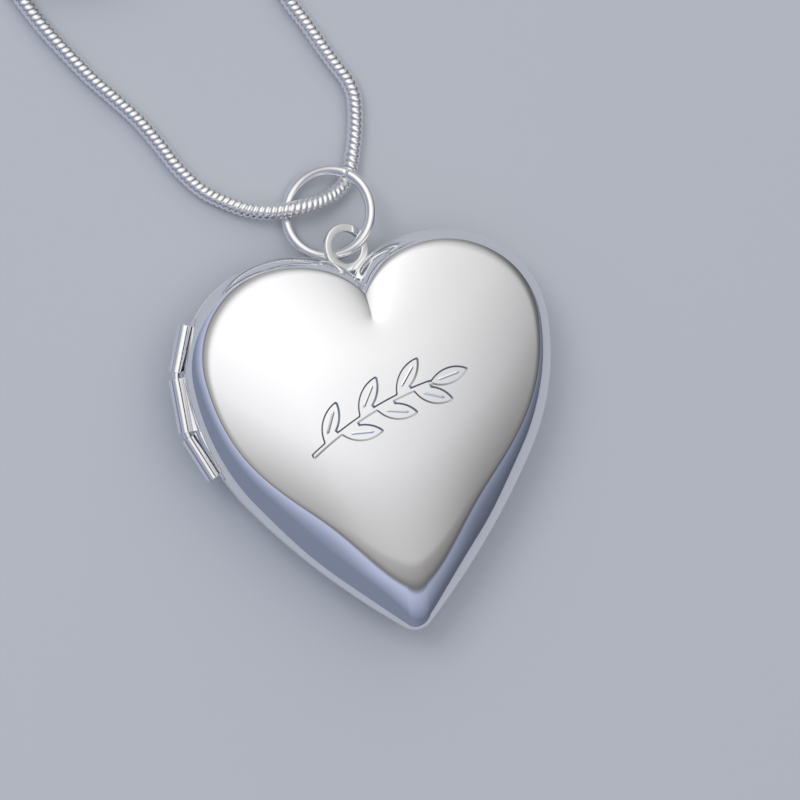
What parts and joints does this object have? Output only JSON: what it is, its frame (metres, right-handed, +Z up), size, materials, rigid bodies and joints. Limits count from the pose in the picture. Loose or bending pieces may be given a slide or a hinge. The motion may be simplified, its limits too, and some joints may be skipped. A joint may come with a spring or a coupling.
{
  "type": "hinged heart locket on a chain",
  "caption": "Puffed heart locket in polished silver metal that opens on a side hinge to hold small pictures, hung by a jump ring on a snake chain with a claw clasp.",
  "frame": {"origin": "the crown of the back's dome, where the locket rests on the surface", "axes": "+X across the heart away from the hinge, +Y up the heart towards the cleft and the bail, +Z up from the back through the cover"},
  "size_m": [0.0383, 0.07, 0.0077],
  "materials": {
    "silver": "mirror polish",
    "spring_steel": "satin",
    "card": "matte card",
    "clear_film": "clear film"
  },
  "bodies": {
    "chain": {"snake_chain": "silver", "chain_coil": "silver", "tag_end_cap": "silver", "clasp_end_cap": "silver", "end_tag": "silver", "clasp_body": "silver", "clasp_spring": "spring_steel", "clasp_rivet": "silver"},
    "lever": {"clasp_lever": "silver"},
    "ring": {"jump_ring": "silver"},
    "back": {"back_shell": "silver", "bail_loop": "silver", "hinge_knuckle_top": "silver", "hinge_knuckle_bottom": "silver", "hinge_pin": "silver", "closing_rim": "silver", "back_seat_plate": "silver", "back_photo": "card", "back_window": "clear_film", "back_photo_frame": "silver"},
    "cover": {"front_shell": "silver", "hinge_knuckle_middle": "silver", "front_seat_plate": "silver", "front_photo": "card", "front_window": "clear_film", "front_photo_frame": "silver"}
  },
  "joints": [
    {"name": "ring_swing", "type": "hinge", "parent": "chain", "child": "ring", "pos_m": [-0.001, 0.01485, 0.00112], "axis": [-0.9564, -0.2191, 0.1931], "range_deg": [0, 10]},
    {"name": "locket_swing", "type": "hinge", "parent": "ring", "child": "back", "pos_m": [0.00006, 0.01061, 0.00316], "axis": [-0.8767, -0.324, -0.3556], "range_deg": [0, 20]},
    {"name": "cover_hinge", "type": "hinge", "parent": "back", "child": "cover", "pos_m": [-0.01445, 0.002, 0.00383], "axis": [0, -1, 0], "range_deg": [0, 165]},
    {"name": "clasp_gate", "type": "hinge", "parent": "chain", "child": "lever", "pos_m": [0.00478, 0.04254, 0.0009], "axis": [0, 0, -1], "range_deg": [0, 20], "stiffness_Nm_per_rad": 0.0005, "springref_deg": -17.19}
  ]
}
